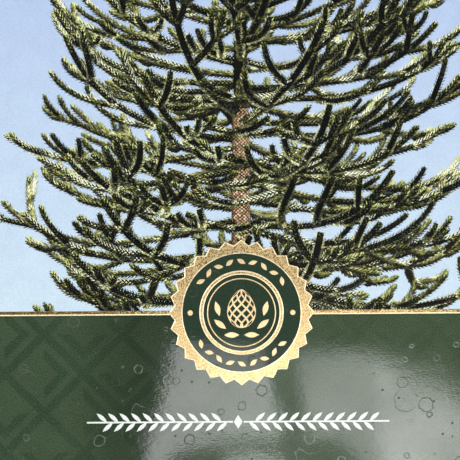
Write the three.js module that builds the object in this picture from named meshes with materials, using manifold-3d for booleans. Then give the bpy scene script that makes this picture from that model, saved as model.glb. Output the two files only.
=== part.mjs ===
// A printed plant label: a glossy plastic card that lies on its back, picture up.
// Millimetres. +X is the picture's right, +Y its top and +Z comes up out of the print.
// The origin is the middle of the card's flat back. Each print or foil layer is a thin raised plate.
import * as THREE from "three";
import { mergeVertices } from "three/addons/utils/BufferGeometryUtils.js";
import Module from "manifold-3d";

const wasm = await Module();
wasm.setup();

// The card
const CARD_WIDTH = 150;
const CARD_HEIGHT = 210;
const CORNER_RADIUS = 6;
const CARD_THICKNESS = 0.5;
const LAYER = 0.125; // each layer that lies on the card
const GAP = 0.3; // between pieces side by side in one layer

// Heights of the layers' undersides
const PANEL_Z = CARD_THICKNESS;
const FOIL_Z = PANEL_Z + LAYER;
const SEAL_Z = FOIL_Z + LAYER;
const MOTIF_Z = SEAL_Z + LAYER;

// The gold rule that parts the picture from the green panel, and the seal on it
const RULE_Y = -53;
const RULE_WIDTH = 1.4;
const TEETH = 28;
const TOOTH_TIP_RADIUS = 21.8;
const TOOTH_ROOT_RADIUS = 20.2;
const DISC_RADIUS = 17.7;
const RING_OUTER_RADIUS = 12.62;
const RING_INNER_RADIUS = 11.4;
const BAND_RADIUS = 15.35; // where the dots and the small leaves sit, between ring and rim
const DOT_RADIUS = 0.8;
const ROUND_SEGMENTS = 72;
const DOT_SEGMENTS = 24;

// The small leaves along the seal's band
const BAND_LEAVES = 9; // in each of the two arcs
const BAND_ARC = (105 * Math.PI) / 180;
const BAND_LEAF_LENGTH = 2.9;
const BAND_LEAF_WIDTH = 1.35;
const BAND_LEAF_LEAN = 0.5;

// The cone in the middle of the seal: an egg with rows of lozenge scales cut out of it
const CONE_HEIGHT = 11.6;
const CONE_WIDTH = 8.6;
const CONE_RISE = 1.2; // its middle above the seal's middle
const CONE_STEPS = 36;
const CONE_ROWS = 8;
const SCALES_ACROSS = 4;
const SCALE_FILL = 0.72; // a scale's share of its cell
const CONE_RIM = 0.9; // how near the cone's edge its outermost scales come
const COLLAR_LEAVES = 3; // on each side of the cone's foot
const COLLAR_LEAF_LENGTH = 4.6;
const COLLAR_LEAF_WIDTH = 1.7;
const COLLAR_RADIUS = 7.3;
const COLLAR_START = 0.42; // angles round the seal's middle, from straight down
const COLLAR_PITCH = 0.66;
const COLLAR_LEAN = 1.15;
const INNER_LINE_OUTER_RADIUS = 10.35;
const INNER_LINE_INNER_RADIUS = 10.0;

// The white sprig under the seal
const SPRIG_Y = RULE_Y - 32.7;
const SPRIG_X = -1.2;
const SPRIG_LENGTH = 90.6;
const SPRIG_STEM = 0.5;
const SPRIG_PAIRS = 11; // pairs of leaves on each half
const SPRIG_LEAF_LENGTH = 4.2;
const SPRIG_LEAF_WIDTH = 1.25;
const SPRIG_LEAF_ANGLE = 0.72;
const SPRIG_FIRST_LEAF = 2.5; // bare stem before the first pair of leaves
const SPRIG_LAST_LEAF = 3.5; // and past the last one
const SPRIG_STAGGER = 0.25; // of the pitch, between the two leaves of a pair
const SPRIG_LEAF_STEPS = 4;
const SPRIG_TOLERANCE = 0.01;
const BUD_HALF_HEIGHT = 2.1;
const BUD_HALF_WIDTH = 1.3;

// The pictured tree, in the picture's plane: its trunk stands on the card's middle line
const TRUNK_FOOT_Y = -75;
const TRUNK_TOP_Y = 86;
const TRUNK_FOOT_RADIUS = 3.4;
const TRUNK_TOP_RADIUS = 1.6;
const CROWN_HALF_WIDTH = 76;
const CROWN_MIDDLE_Y = -44;
const CROWN_RISE = 136;
const LOWEST_WHORL_Y = -84;
const WHORL_PITCH = [10.5, 5.5]; // from one whorl to the next, at the foot and at the top
const WHORL_TWIST = 2.4;
const BOUGHS_IN_WHORL = 5;
const BOUGH_PITCH = [-0.55, 0.6]; // a bough's slope where it leaves the trunk, at the foot and at the top
const BOUGH_LIFT = [1.25, 0.7]; // how far it turns up along its length, at the foot and at the top
const SIDE_LIMB_PITCH = 14; // between the side limbs of a bough
const SIDE_LIMB_LENGTH = 16; // near the tip, and longer by the next value at each pair further in
const SIDE_LIMB_GAIN = 5;
const VIEW_PITCH = (10 * Math.PI) / 180; // the tree is seen a little from below
const VIEW_MIDDLE_Y = -20;
const LIMB_RADIUS = 1.5;
const MAIN_LINKS = 5; // straight stretches of a main limb and of a side limb
const SIDE_LINKS = 2;
const SHORTEST_LINK = 0.4;
const PICTURE_EDGE = 0.5; // between the boughs and the card's edge
const COLLAR_WIDTH = 1.6; // of the strip beside the trunk that the boughs' feet grow from
const SHOWN_LATERAL = 11; // shorter side limbs are too fine for these plates
const OUTLINE_TOLERANCE = 0.15;
const SMALLEST_GAP = 4; // square millimetres of sky between boughs
const TREE_SEED = 1469;

const finishes = {
  card: new THREE.MeshStandardMaterial({ color: 0xeff0ec, roughness: 0.35, metalness: 0 }),
  sky: new THREE.MeshStandardMaterial({ color: 0xc4d9f2, roughness: 0.2, metalness: 0 }),
  panel: new THREE.MeshStandardMaterial({ color: 0x445340, roughness: 0.2, metalness: 0 }),
  foil: new THREE.MeshStandardMaterial({ color: 0xd9be86, roughness: 0.35, metalness: 1 }),
  seal: new THREE.MeshStandardMaterial({ color: 0x364836, roughness: 0.2, metalness: 0 }),
  white: new THREE.MeshStandardMaterial({ color: 0xf4f6f3, roughness: 0.25, metalness: 0 }),
  bough: new THREE.MeshStandardMaterial({ color: 0x4a4c3a, roughness: 0.25, metalness: 0 }),
  trunk: new THREE.MeshStandardMaterial({ color: 0x63573f, roughness: 0.25, metalness: 0 }),
};

const label = new THREE.Group();

function add(name, geometry, finish) {
  const mesh = new THREE.Mesh(geometry, finish);
  mesh.name = name;
  label.add(mesh);
}

// A flat plate one layer thick, or of another thickness, with its underside at the given height.
function plate(shape, bottom, thickness = LAYER) {
  const geometry = new THREE.ExtrudeGeometry(shape, { depth: thickness, bevelEnabled: false });
  geometry.translate(0, 0, bottom);
  return geometry;
}

function outline(points) {
  return new THREE.Shape(points.map(([x, y]) => new THREE.Vector2(x, y)));
}

function circle(x, y, radius, segments = ROUND_SEGMENTS) {
  const points = [];
  for (let i = 0; i < segments; i++) {
    const a = (2 * Math.PI * i) / segments;
    points.push([x + radius * Math.cos(a), y + radius * Math.sin(a)]);
  }
  return outline(points);
}

function toSolid(geometry) {
  const bare = geometry.clone();
  bare.deleteAttribute("normal");
  bare.deleteAttribute("uv");
  const merged = mergeVertices(bare, 1e-4);
  return new wasm.Manifold(
    new wasm.Mesh({
      numProp: 3,
      vertProperties: merged.attributes.position.array,
      triVerts: new Uint32Array(merged.index.array),
    }),
  );
}

function fromSolid(solid) {
  const mesh = solid.getMesh();
  const geometry = new THREE.BufferGeometry();
  geometry.setAttribute("position", new THREE.BufferAttribute(mesh.vertProperties.slice(), 3));
  geometry.setIndex(new THREE.BufferAttribute(mesh.triVerts.slice(), 1));
  return geometry;
}

function join(solids) {
  let round = solids;
  while (round.length > 1) {
    const next = [];
    for (let i = 0; i < round.length; i += 2) {
      next.push(i + 1 < round.length ? round[i].add(round[i + 1]) : round[i]);
    }
    round = next;
  }
  return round[0];
}

function largest(solid) {
  return solid.decompose().sort((a, b) => b.volume() - a.volume())[0];
}

// The closed outlines of a flat plate's underside, as lists of [x, y].
function underside(solid) {
  const { vertProperties, triVerts } = solid.getMesh();
  let low = Infinity;
  for (let i = 2; i < vertProperties.length; i += 3) low = Math.min(low, vertProperties[i]);
  const onUnderside = (v) => vertProperties[3 * v + 2] < low + LAYER / 2;
  const next = new Map();
  for (let i = 0; i < triVerts.length; i += 3) {
    const corners = [triVerts[i], triVerts[i + 1], triVerts[i + 2]];
    if (!corners.every(onUnderside)) continue;
    for (let k = 0; k < 3; k++) {
      const [a, b] = [corners[k], corners[(k + 1) % 3]];
      if (next.get(b)?.has(a)) next.get(b).delete(a);
      else next.set(a, (next.get(a) ?? new Set()).add(b));
    }
  }
  const loops = [];
  for (const [first, ways] of next) {
    while (ways.size) {
      const loop = [];
      let v = first;
      do {
        loop.push([vertProperties[3 * v], vertProperties[3 * v + 1]]);
        const [after] = next.get(v);
        next.get(v).delete(after);
        v = after;
      } while (v !== first);
      loops.push(loop);
    }
  }
  return loops;
}

function areaOf(loop) {
  return loop.reduce((sum, [x, y], i) => {
    const [u, v] = loop[(i + 1) % loop.length];
    return sum + (x * v - u * y) / 2;
  }, 0);
}

// Leaves out each corner that stands off the line between its neighbours by less than a tolerance.
function straighten(loop, tolerance) {
  const kept = loop.slice();
  for (let i = 0; i < kept.length && kept.length > 3; ) {
    const a = kept[(i + kept.length - 1) % kept.length];
    const b = kept[(i + 1) % kept.length];
    const [x, y] = kept[i];
    const length = Math.hypot(b[0] - a[0], b[1] - a[1]);
    const off = Math.abs((x - a[0]) * (b[1] - a[1]) - (y - a[1]) * (b[0] - a[0])) / Math.max(length, 1e-6);
    if (off < tolerance) kept.splice(i, 1);
    else i++;
  }
  return kept;
}

// One joined plate again, with its outline straightened and its smallest gaps filled.
function cleaned(solid, bottom, tolerance, smallestGap) {
  const loops = underside(largest(solid)).sort((a, b) => Math.abs(areaOf(b)) - Math.abs(areaOf(a)));
  const [edge, ...gaps] = loops.map((loop) => straighten(loop, tolerance));
  const shape = outline(edge);
  for (const gap of gaps) {
    if (Math.abs(areaOf(gap)) > smallestGap) shape.holes.push(outline(gap));
  }
  return plate(shape, bottom);
}

// Card and panels

// The part of the card's outline between two heights, with its rounded corners.
function cardOutline(low, high) {
  const x = CARD_WIDTH / 2;
  const y = CARD_HEIGHT / 2;
  const r = CORNER_RADIUS;
  const shape = new THREE.Shape();
  if (low > -y) {
    shape.moveTo(-x, low);
    shape.lineTo(x, low);
  } else {
    shape.moveTo(-x + r, -y);
    shape.lineTo(x - r, -y);
    shape.absarc(x - r, -y + r, r, -Math.PI / 2, 0);
  }
  if (high < y) {
    shape.lineTo(x, high);
    shape.lineTo(-x, high);
  } else {
    shape.lineTo(x, y - r);
    shape.absarc(x - r, y - r, r, 0, Math.PI / 2);
    shape.lineTo(-x + r, y);
    shape.absarc(-x + r, y - r, r, Math.PI / 2, Math.PI);
  }
  if (low > -y) {
    shape.lineTo(-x, low);
  } else {
    shape.lineTo(-x, -y + r);
    shape.absarc(-x + r, -y + r, r, Math.PI, 1.5 * Math.PI);
  }
  return shape;
}

const whole = cardOutline(-CARD_HEIGHT / 2, CARD_HEIGHT / 2);
add("card", plate(whole, 0, CARD_THICKNESS), finishes.card);
add("picture_sky", plate(cardOutline(RULE_Y, CARD_HEIGHT / 2), PANEL_Z), finishes.sky);
add("green_panel", plate(cardOutline(-CARD_HEIGHT / 2, RULE_Y), PANEL_Z), finishes.panel);

// Gold rule, in two lengths that end at the seal

function ruleOutline(side) {
  const near = TOOTH_TIP_RADIUS + GAP;
  const far = CARD_WIDTH / 2;
  const half = RULE_WIDTH / 2;
  const [low, high] = side < 0 ? [-far, -near] : [near, far];
  return outline([[low, RULE_Y - half], [high, RULE_Y - half], [high, RULE_Y + half], [low, RULE_Y + half]]);
}

add("gold_rule_left", plate(ruleOutline(-1), FOIL_Z), finishes.foil);
add("gold_rule_right", plate(ruleOutline(1), FOIL_Z), finishes.foil);

// Seal: toothed foil, green disc, ring, dots and small leaves

function rosetteOutline() {
  const points = [];
  for (let i = 0; i < 2 * TEETH; i++) {
    const a = Math.PI / 2 + (Math.PI * i) / TEETH;
    const r = i % 2 ? TOOTH_ROOT_RADIUS : TOOTH_TIP_RADIUS;
    points.push([r * Math.cos(a), RULE_Y + r * Math.sin(a)]);
  }
  return outline(points);
}

function leafOutline(x, y, angle, length, width, steps = 6) {
  const points = [];
  for (let side = -1; side <= 1; side += 2) {
    for (let i = 0; i < steps; i++) {
      const t = side < 0 ? i / steps : 1 - i / steps;
      const along = (t - 0.5) * length;
      const across = side * 0.5 * width * Math.sin(Math.PI * t);
      points.push([
        x + along * Math.cos(angle) - across * Math.sin(angle),
        y + along * Math.sin(angle) + across * Math.cos(angle),
      ]);
    }
  }
  return outline(points);
}

add("seal_rosette", plate(rosetteOutline(), FOIL_Z), finishes.foil);
add("seal_disc", plate(circle(0, RULE_Y, DISC_RADIUS), SEAL_Z), finishes.seal);

for (const [name, outer, inner] of [
  ["seal_ring", RING_OUTER_RADIUS, RING_INNER_RADIUS],
  ["seal_inner_line", INNER_LINE_OUTER_RADIUS, INNER_LINE_INNER_RADIUS],
]) {
  const ring = circle(0, RULE_Y, outer);
  ring.holes.push(circle(0, RULE_Y, inner));
  add(name, plate(ring, MOTIF_Z), finishes.foil);
}

for (const [name, side] of [["left", -1], ["right", 1]]) {
  const dot = circle(side * BAND_RADIUS, RULE_Y, DOT_RADIUS, DOT_SEGMENTS);
  add(`seal_dot_${name}`, plate(dot, MOTIF_Z), finishes.foil);
}

for (const [name, middle] of [["top", Math.PI / 2], ["bottom", -Math.PI / 2]]) {
  for (let i = 0; i < BAND_LEAVES; i++) {
    const a = middle + BAND_ARC * (0.5 - i / (BAND_LEAVES - 1));
    const shape = leafOutline(
      BAND_RADIUS * Math.cos(a), RULE_Y + BAND_RADIUS * Math.sin(a),
      a - Math.PI / 2 + (i % 2 ? 1 : -1) * BAND_LEAF_LEAN, BAND_LEAF_LENGTH, BAND_LEAF_WIDTH,
    );
    add(`seal_leaf_${name}_${i + 1}`, plate(shape, MOTIF_Z), finishes.foil);
  }
}

// Half the cone's width at t, from 0 at its foot to 1 at its tip.
function coneHalf(t) {
  return 0.5 * CONE_WIDTH * Math.sin(Math.PI * Math.min(1, t ** 0.78)) ** 0.62;
}

// A point of the cone's face: turn goes from -90 to 90 degrees across it.
function conePoint(turn, t) {
  return [Math.sin(turn) * coneHalf(t), RULE_Y + CONE_RISE + CONE_HEIGHT * (t - 0.5)];
}

function coneOutline() {
  const right = [];
  const left = [];
  for (let i = 0; i < CONE_STEPS; i++) {
    right.push(conePoint(Math.PI / 2, (1 - Math.cos((Math.PI * i) / CONE_STEPS)) / 2));
    left.push(conePoint(-Math.PI / 2, (1 + Math.cos((Math.PI * i) / CONE_STEPS)) / 2));
  }
  const shape = outline([...right, ...left]);
  const across = Math.PI / SCALES_ACROSS;
  const up = 1 / CONE_ROWS;
  for (let row = 1; row < CONE_ROWS; row++) {
    const count = row % 2 ? SCALES_ACROSS : SCALES_ACROSS - 1;
    for (let i = 0; i < count; i++) {
      const turn = (i - (count - 1) / 2) * across * CONE_RIM;
      const t = row * up;
      const half = 0.5 * SCALE_FILL * across * CONE_RIM;
      shape.holes.push(outline([
        conePoint(turn - half, t),
        conePoint(turn, t + SCALE_FILL * up),
        conePoint(turn + half, t),
        conePoint(turn, t - SCALE_FILL * up),
      ]));
    }
  }
  return shape;
}

add("seal_cone", plate(coneOutline(), MOTIF_Z), finishes.foil);

for (const [name, side] of [["left", -1], ["right", 1]]) {
  for (let i = 0; i < COLLAR_LEAVES; i++) {
    const a = -Math.PI / 2 + side * (COLLAR_START + COLLAR_PITCH * i);
    const shape = leafOutline(
      COLLAR_RADIUS * Math.cos(a), RULE_Y + COLLAR_RADIUS * Math.sin(a),
      a + side * COLLAR_LEAN, COLLAR_LEAF_LENGTH, COLLAR_LEAF_WIDTH,
    );
    add(`seal_collar_${name}_${i + 1}`, plate(shape, MOTIF_Z), finishes.foil);
  }
}

// White sprig: two leafy halves and a bud between them

function sprigHalf(side) {
  const half = SPRIG_LENGTH / 2;
  const inner = BUD_HALF_WIDTH + GAP;
  const stem = outline([
    [SPRIG_X + side * inner, SPRIG_Y - SPRIG_STEM / 2],
    [SPRIG_X + side * half, SPRIG_Y - SPRIG_STEM / 2],
    [SPRIG_X + side * half, SPRIG_Y + SPRIG_STEM / 2],
    [SPRIG_X + side * inner, SPRIG_Y + SPRIG_STEM / 2],
  ]);
  const parts = [toSolid(plate(stem, FOIL_Z))];
  const pitch = (half - inner - SPRIG_FIRST_LEAF - SPRIG_LAST_LEAF) / SPRIG_PAIRS;
  for (let i = 0; i < SPRIG_PAIRS; i++) {
    for (let up = -1; up <= 1; up += 2) {
      const root = inner + SPRIG_FIRST_LEAF + pitch * (i + SPRIG_STAGGER * up);
      const angle = up * SPRIG_LEAF_ANGLE;
      const x = root + 0.5 * SPRIG_LEAF_LENGTH * Math.cos(angle);
      const y = 0.5 * SPRIG_LEAF_LENGTH * Math.sin(angle);
      const lean = side > 0 ? angle : Math.PI - angle;
      const leaf = leafOutline(
        SPRIG_X + side * x, SPRIG_Y + y, lean, SPRIG_LEAF_LENGTH, SPRIG_LEAF_WIDTH, SPRIG_LEAF_STEPS,
      );
      parts.push(toSolid(plate(leaf, FOIL_Z)));
    }
  }
  return cleaned(join(parts), FOIL_Z, SPRIG_TOLERANCE, 0);
}

add("sprig_left", sprigHalf(-1), finishes.white);
add("sprig_right", sprigHalf(1), finishes.white);
const bud = outline([
  [SPRIG_X, SPRIG_Y - BUD_HALF_HEIGHT],
  [SPRIG_X + BUD_HALF_WIDTH, SPRIG_Y],
  [SPRIG_X, SPRIG_Y + BUD_HALF_HEIGHT],
  [SPRIG_X - BUD_HALF_WIDTH, SPRIG_Y],
]);
add("sprig_bud", plate(bud, FOIL_Z), finishes.white);

// Pictured tree: limbs grow in space by a seeded rule, and are drawn flat

function makeDraw(seed) {
  let state = seed;
  return () => {
    state = (state * 16807) % 2147483647;
    return state / 2147483647;
  };
}

const nearest = (x) => Math.floor(x + 0.5);

// How far the crown reaches from the trunk at a height.
function crownReach(y) {
  let k = (y - CROWN_MIDDLE_Y) / CROWN_RISE;
  if (k < 0) k *= 0.5;
  return CROWN_HALF_WIDTH * Math.sqrt(Math.max(0, 1 - k * k));
}

// Points [across, towards the viewer, up] of a limb whose heading turns and whose pitch rises.
function limb(start, heading, pitch, length, turn, lift, count) {
  const points = [start];
  const step = length / count;
  for (let i = 0; i < count; i++) {
    const s = (i + 0.5) / count;
    const a = heading + turn * s;
    const e = pitch + lift * s * s;
    const q = points[i];
    points.push([
      q[0] + step * Math.cos(e) * Math.cos(a),
      q[1] + step * Math.cos(e) * Math.sin(a),
      q[2] + step * Math.sin(e),
    ]);
  }
  return points;
}

function directionAt(points, i) {
  const a = points[Math.max(0, i - 1)];
  const b = points[Math.min(points.length - 1, i + 1)];
  const d = [b[0] - a[0], b[1] - a[1], b[2] - a[2]];
  return [Math.atan2(d[1], d[0]), Math.asin(d[2] / Math.hypot(...d))];
}

// One bough: its main limb first, then its side limbs and their twigs.
function growBough(draw, y, azimuth, reach, pitch, lift) {
  const limbs = [];
  const length = reach * 1.06;
  const count = Math.max(4, nearest(reach / 4));
  const main = limb([0, 0, y], azimuth, pitch, length, (draw() - 0.5) * 0.7, lift, count);
  limbs.push({ points: main, kind: 0 });
  const roll = (draw() - 0.5) * 0.9;
  let at = length - 12 - 5 * draw();
  for (let j = 0; at > 0.2 * reach; j++) {
    const i = Math.max(2, nearest((at / length) * count));
    const [heading, rise] = directionAt(main, i);
    for (let side = -1; side <= 1; side += 2) {
      if (draw() < 0.12) continue;
      const fullLength = SIDE_LIMB_LENGTH + SIDE_LIMB_GAIN * j;
      const sideLength = Math.min(reach * 0.6, fullLength * (0.7 + 0.6 * draw()));
      const spread = side * (0.75 + 0.4 * draw());
      const sidePitch = rise * 0.8 - 0.1 + side * roll * 0.7 + (draw() - 0.5) * 0.3;
      const sideCount = Math.max(4, nearest(sideLength / 2.6));
      const sideTurn = -side * (0.2 + 0.5 * draw());
      const sideLift = 0.6 + 0.7 * draw();
      const lateral = limb(main[i], heading + spread, sidePitch, sideLength, sideTurn, sideLift, sideCount);
      limbs.push({ points: lateral, kind: 1 });
      if (sideLength <= 14 || draw() >= 0.6) continue;
      const k = Math.max(2, nearest(sideCount * (0.35 + 0.25 * draw())));
      const [twigHeading, twigRise] = directionAt(lateral, k);
      for (let half = -1; half <= 1; half += 2) {
        if (draw() < 0.3) continue;
        const twigPitch = twigRise * 0.7 + (draw() - 0.5) * 0.5;
        const twigLength = sideLength * (0.4 + 0.25 * draw());
        const twig = limb(lateral[k], twigHeading + half * 0.85, twigPitch, twigLength, -half * 0.4, 0.8, 4);
        limbs.push({ points: twig, kind: 2 });
      }
    }
    at -= SIDE_LIMB_PITCH + 5 * draw();
  }
  return limbs;
}

// A value between its foot and top values.
const between = ([foot, top], up) => foot + (top - foot) * up;

function growTree(seed) {
  const draw = makeDraw(seed);
  const boughs = [];
  let y = LOWEST_WHORL_Y;
  for (let whorl = 0; y < TRUNK_TOP_Y - 5; whorl++) {
    const up = Math.max(0, (y - TRUNK_FOOT_Y) / (TRUNK_TOP_Y - TRUNK_FOOT_Y));
    const phase = whorl * WHORL_TWIST + draw() * 0.5;
    for (let i = 0; i < BOUGHS_IN_WHORL; i++) {
      const azimuth = phase + (i * 2 * Math.PI) / BOUGHS_IN_WHORL + (draw() - 0.5) * 0.5;
      const pitch = between(BOUGH_PITCH, up ** 1.2) + (draw() - 0.5) * 0.35;
      const lift = between(BOUGH_LIFT, up) + (draw() - 0.5) * 0.5;
      const reach = crownReach(y + 8) * (0.8 + 0.3 * draw());
      boughs.push(growBough(draw, y + (draw() - 0.5) * 7, azimuth, reach, pitch, lift));
    }
    y += between(WHORL_PITCH, up);
  }
  return boughs;
}

// Where a point of the tree falls in the picture.
function drawn([across, out, up]) {
  const lifted = up - VIEW_MIDDLE_Y;
  return [
    across,
    lifted * Math.cos(VIEW_PITCH) + out * Math.sin(VIEW_PITCH) + VIEW_MIDDLE_Y,
    out * Math.cos(VIEW_PITCH) - lifted * Math.sin(VIEW_PITCH),
  ];
}

// A six-sided plate round one stretch of a limb.
function link(a, b, radius, bottom) {
  const length = Math.hypot(b[0] - a[0], b[1] - a[1]);
  const tx = (b[0] - a[0]) / length;
  const ty = (b[1] - a[1]) / length;
  const at = (p, along, across) => [
    p[0] + radius * (tx * along - ty * across),
    p[1] + radius * (ty * along + tx * across),
  ];
  const shape = outline([
    at(a, -0.9, 0), at(a, 0, -1), at(b, 0, -1), at(b, 0.9, 0), at(b, 0, 1), at(a, 0, 1),
  ]);
  return toSolid(plate(shape, bottom));
}

function limbPlates({ points, kind }, bottom) {
  const flat = points.map(drawn);
  const links = kind === 0 ? MAIN_LINKS : SIDE_LINKS;
  const radius = LIMB_RADIUS * (kind === 0 ? 1 : 0.9);
  const plates = [];
  for (let i = 0; i < links; i++) {
    const a = flat[nearest((i * (flat.length - 1)) / links)];
    const b = flat[nearest(((i + 1) * (flat.length - 1)) / links)];
    if (Math.hypot(b[0] - a[0], b[1] - a[1]) > SHORTEST_LINK) plates.push(link(a, b, radius, bottom));
  }
  return plates;
}

function spanOf(points) {
  let length = 0;
  for (let i = 1; i < points.length; i++) {
    const a = drawn(points[i - 1]);
    const b = drawn(points[i]);
    length += Math.hypot(b[0] - a[0], b[1] - a[1]);
  }
  return length;
}

// The picture's own window: inside the card's edge, above the rule and round the seal.
function pictureWindow(bottom) {
  const x = CARD_WIDTH / 2 - PICTURE_EDGE;
  const low = RULE_Y + RULE_WIDTH / 2 + GAP;
  const high = CARD_HEIGHT / 2 - CORNER_RADIUS;
  const picture = outline([[-x, low], [x, low], [x, high], [-x, high]]);
  const frame = toSolid(plate(picture, bottom - LAYER, 3 * LAYER));
  const seal = circle(0, RULE_Y, TOOTH_TIP_RADIUS + GAP);
  return frame.subtract(toSolid(plate(seal, bottom - 2 * LAYER, 5 * LAYER)));
}

// Which side a bough's tip is on, and whether it comes nearer than the trunk.
function placeOf([main]) {
  const [across, , depth] = drawn(main.points[main.points.length - 1]);
  return { side: Math.sign(across), near: depth > 0 };
}

const boughs = growTree(TREE_SEED);

for (const [name, side, near] of [
  ["far_boughs_left", -1, false],
  ["far_boughs_right", 1, false],
  ["near_boughs_left", -1, true],
  ["near_boughs_right", 1, true],
]) {
  const bottom = near ? MOTIF_Z : FOIL_Z;
  const plates = boughs
    .filter((bough) => placeOf(bough).side === side && placeOf(bough).near === near)
    .flat()
    .filter(({ points, kind }) => kind === 0 || spanOf(points) > SHOWN_LATERAL)
    .flatMap((one) => limbPlates(one, bottom));
  const inner = side * GAP;
  const collar = outline([
    [inner, LOWEST_WHORL_Y], [side * COLLAR_WIDTH, LOWEST_WHORL_Y], [inner, TRUNK_TOP_Y],
  ]);
  plates.push(toSolid(plate(collar, bottom)));
  const half = outline([
    [inner, -CARD_HEIGHT],
    [side * CARD_WIDTH, -CARD_HEIGHT],
    [side * CARD_WIDTH, CARD_HEIGHT],
    [inner, CARD_HEIGHT],
  ]);
  const field = pictureWindow(bottom).intersect(toSolid(plate(half, bottom - LAYER, 3 * LAYER)));
  add(name, cleaned(join(plates).intersect(field), bottom, OUTLINE_TOLERANCE, SMALLEST_GAP), finishes.bough);
}

function trunkOutline() {
  return outline([
    [-TRUNK_FOOT_RADIUS, TRUNK_FOOT_Y], [TRUNK_FOOT_RADIUS, TRUNK_FOOT_Y],
    [TRUNK_TOP_RADIUS, TRUNK_TOP_Y], [-TRUNK_TOP_RADIUS, TRUNK_TOP_Y],
  ]);
}

add(
  "pictured_trunk",
  fromSolid(largest(toSolid(plate(trunkOutline(), SEAL_Z)).intersect(pictureWindow(SEAL_Z)))),
  finishes.trunk,
);

export default label;
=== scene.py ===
from math import asin, atan2, cos, floor, hypot, pi, radians, sin, sqrt

import bmesh
import bpy
import numpy as np
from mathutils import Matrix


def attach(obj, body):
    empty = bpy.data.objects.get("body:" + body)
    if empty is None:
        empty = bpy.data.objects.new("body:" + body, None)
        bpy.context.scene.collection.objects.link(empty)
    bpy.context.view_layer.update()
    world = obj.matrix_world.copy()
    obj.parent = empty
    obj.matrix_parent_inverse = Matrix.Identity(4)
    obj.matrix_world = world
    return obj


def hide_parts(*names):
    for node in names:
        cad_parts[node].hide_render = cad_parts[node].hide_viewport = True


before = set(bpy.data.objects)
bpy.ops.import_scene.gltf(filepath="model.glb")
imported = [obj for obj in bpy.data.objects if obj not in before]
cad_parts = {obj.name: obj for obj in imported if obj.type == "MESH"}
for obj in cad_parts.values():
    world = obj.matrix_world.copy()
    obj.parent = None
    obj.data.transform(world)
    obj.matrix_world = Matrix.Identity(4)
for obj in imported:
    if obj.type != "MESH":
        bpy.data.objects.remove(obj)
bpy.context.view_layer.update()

MM = 0.001

# The label's main lines, in millimetres, as in the part's source
CARD_WIDTH = 150.0
CARD_HEIGHT = 210.0
RULE_Y = -53.0
LAYER = 0.125
PRINT_Z = 0.625
FOIL_TOP_Z = 0.75
FOIL_DIP = 0.02
STACK_TOP_Z = 1.0
SEAL_RADIUS = 21.8
ROSETTE_ROOT_RADIUS = 20.2

# What the camera sees: 138 mm of the label, from straight above
VIEW_X = -3.3
VIEW_Y = -28.25
VIEW_SPAN = 138.0
VIEW_HEIGHT = 450.0
VIEW_ROLL = 0.0062


# Materials

def linear(red, green, blue):
    """An sRGB colour of 0 to 255 as linear red, green, blue and alpha."""
    values = []
    for value in (red, green, blue):
        value /= 255
        values.append(value / 12.92 if value <= 0.04045 else ((value + 0.055) / 1.055) ** 2.4)
    return (*values, 1.0)


class Nodes:
    """The nodes of a material or of the world."""

    def __init__(self, owner):
        owner.use_nodes = True
        self.tree = owner.node_tree
        self.tree.nodes.clear()

    def feed(self, socket, value):
        if isinstance(value, bpy.types.NodeSocket):
            self.tree.links.new(value, socket)
        else:
            socket.default_value = value

    def node(self, kind, sockets=None, **settings):
        """A new node, with its settings and with what feeds its sockets."""
        node = self.tree.nodes.new("ShaderNode" + kind)
        for name, value in settings.items():
            setattr(node, name, value)
        for socket, value in (sockets or {}).items():
            self.feed(node.inputs[socket], value)
        return node


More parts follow.
